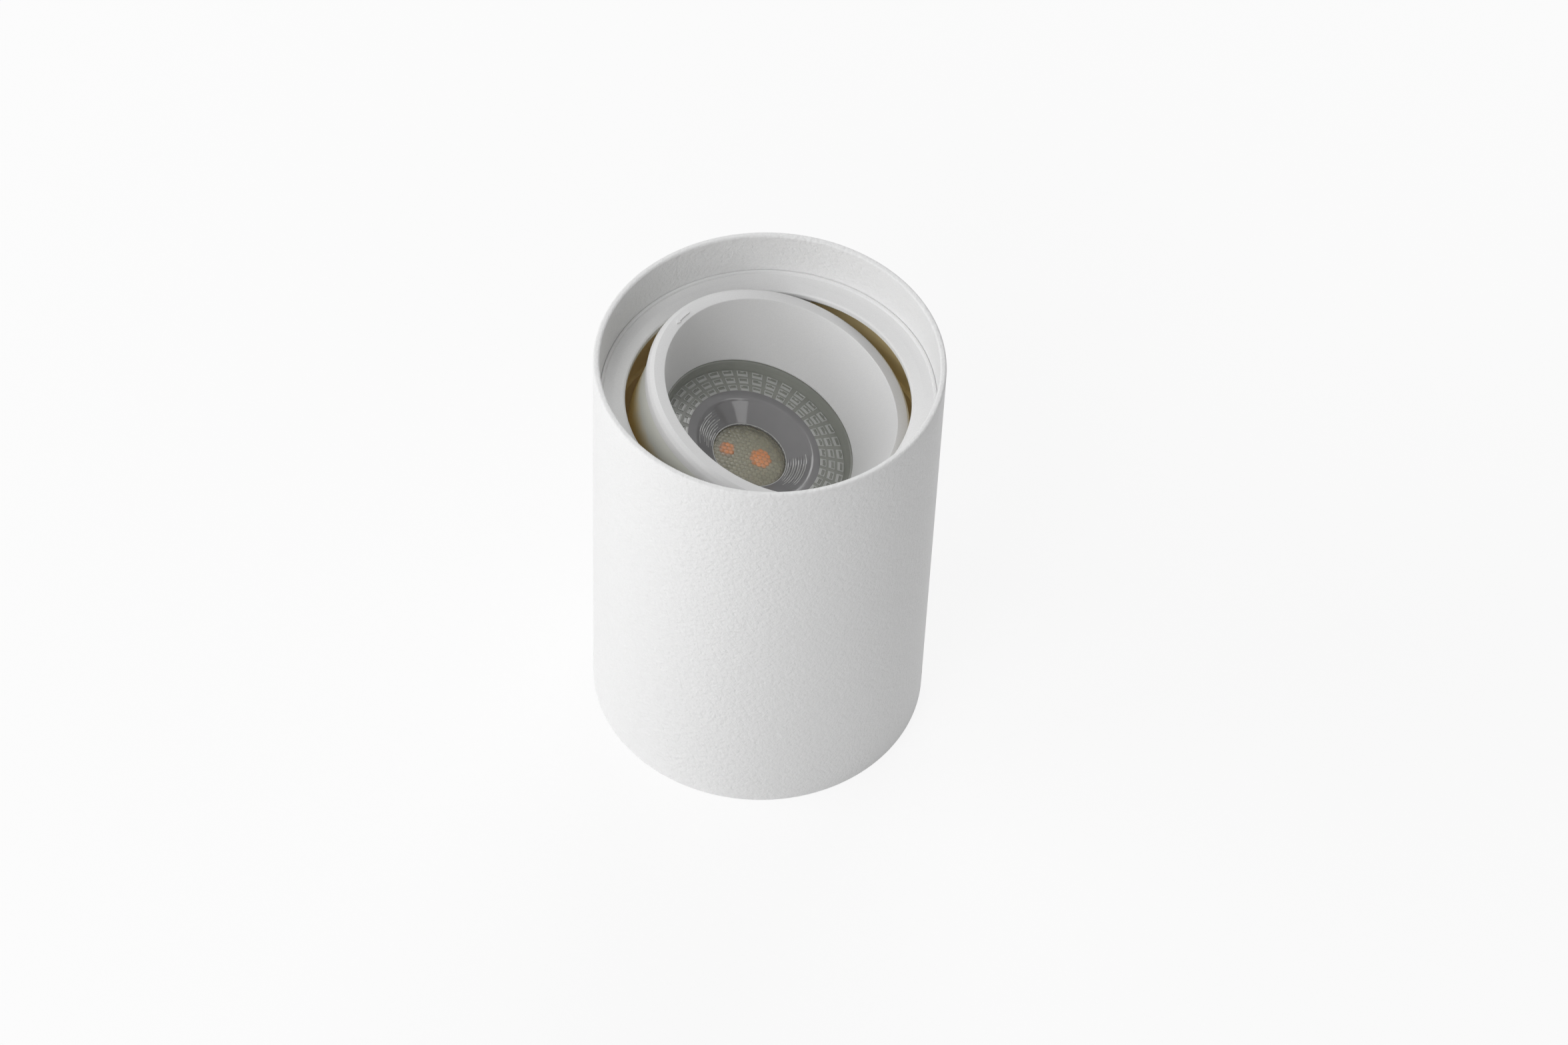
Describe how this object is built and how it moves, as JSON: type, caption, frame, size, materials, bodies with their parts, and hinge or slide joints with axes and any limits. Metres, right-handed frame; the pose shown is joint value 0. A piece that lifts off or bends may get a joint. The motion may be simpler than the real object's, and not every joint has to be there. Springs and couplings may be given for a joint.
{
  "type": "surface mounted ceiling spotlight",
  "caption": "White cylindrical surface mounted ceiling spotlight with a recessed lamp head that swivels and tilts behind the tube's mouth and a twist-off baffle ring.",
  "frame": {"origin": "centre of the mounting end, on the face that lies against the ceiling", "axes": "+Z along the tube towards its mouth, the way the light leaves (down, once it hangs from a ceiling); +X the way the head leans at rest; +Y along the head's tilt axis"},
  "size_m": [0.085, 0.085, 0.12],
  "materials": {
    "housing_powder_coat": "white powder coat with fine orange peel, bare chromated aluminium inside",
    "carrier_powder_coat": "satin white powder coat",
    "trim_powder_coat": "matt white powder coat",
    "can_powder_coat": "thin white powder coat",
    "zinc_plated_steel": "bright zinc plating",
    "spring_steel": "rolled spring steel",
    "stainless_screw": "stainless steel",
    "plated_screw": "zinc plated steel",
    "black_rubber": "moulded rubber",
    "natural_nylon": "natural nylon",
    "washer_nylon": "natural nylon",
    "brass": "turned brass",
    "tinned_brass": "tinned brass",
    "bronze_contact": "phosphor bronze",
    "nickel_plated_pin": "nickel plated brass",
    "lamp_plastic": "white moulded thermoplastic",
    "clear_lens": "clear moulded polycarbonate",
    "led_board_white": "white solder resist on an aluminium board",
    "led_phosphor": "orange yellow phosphor resin",
    "steatite": "pressed steatite ceramic",
    "live_insulation": "brown silicone insulation",
    "neutral_insulation": "blue silicone insulation",
    "earth_insulation": "green and yellow insulation"
  },
  "bodies": {
    "housing": {"housing_tube": "housing_powder_coat", "mounting_plate": "zinc_plated_steel", "cable_grommet": "black_rubber", "side_screws": "stainless_screw", "terminal_block": "natural_nylon", "terminal_clamps": "brass", "terminal_screws": "plated_screw", "block_screw": "plated_screw", "earth_screw": "plated_screw", "earth_lug": "tinned_brass", "earth_lead": "earth_insulation", "live_lead": "live_insulation", "neutral_lead": "neutral_insulation"},
    "carrier": {"carrier_ring": "carrier_powder_coat", "retaining_springs": "spring_steel", "spring_rivets": "stainless_screw"},
    "head": {"lamp_can": "can_powder_coat", "bayonet_pins": "can_powder_coat", "pivot_screws": "plated_screw", "friction_washers": "washer_nylon", "lamp_body": "lamp_plastic", "lamp_base": "lamp_plastic", "lamp_pins": "nickel_plated_pin", "lamp_lens": "clear_lens", "led_board": "led_board_white", "led_chips": "led_phosphor", "lamp_socket": "steatite", "socket_contacts": "bronze_contact", "socket_screws": "plated_screw", "socket_nuts": "plated_screw", "socket_bracket": "zinc_plated_steel", "bracket_screws": "plated_screw"},
    "trim": {"trim_ring": "trim_powder_coat"}
  },
  "joints": [
    {"name": "ring_swivel", "type": "hinge", "parent": "housing", "child": "carrier", "pos_m": [0, 0, 0.105], "axis": [0, 0, 1], "range_deg": [-175, 175], "deforming": ["live_lead", "neutral_lead"]},
    {"name": "head_tilt", "type": "hinge", "parent": "carrier", "child": "head", "pos_m": [0, 0, 0.0975], "axis": [0, 1, 0], "range_deg": [-37.5, 2.5], "deforming": ["live_lead", "neutral_lead"]},
    {"name": "trim_twist", "type": "hinge", "parent": "head", "child": "trim", "pos_m": [0, 0, 0.0975], "axis": [0.3007, 0, 0.9537], "range_deg": [0, 20]}
  ]
}
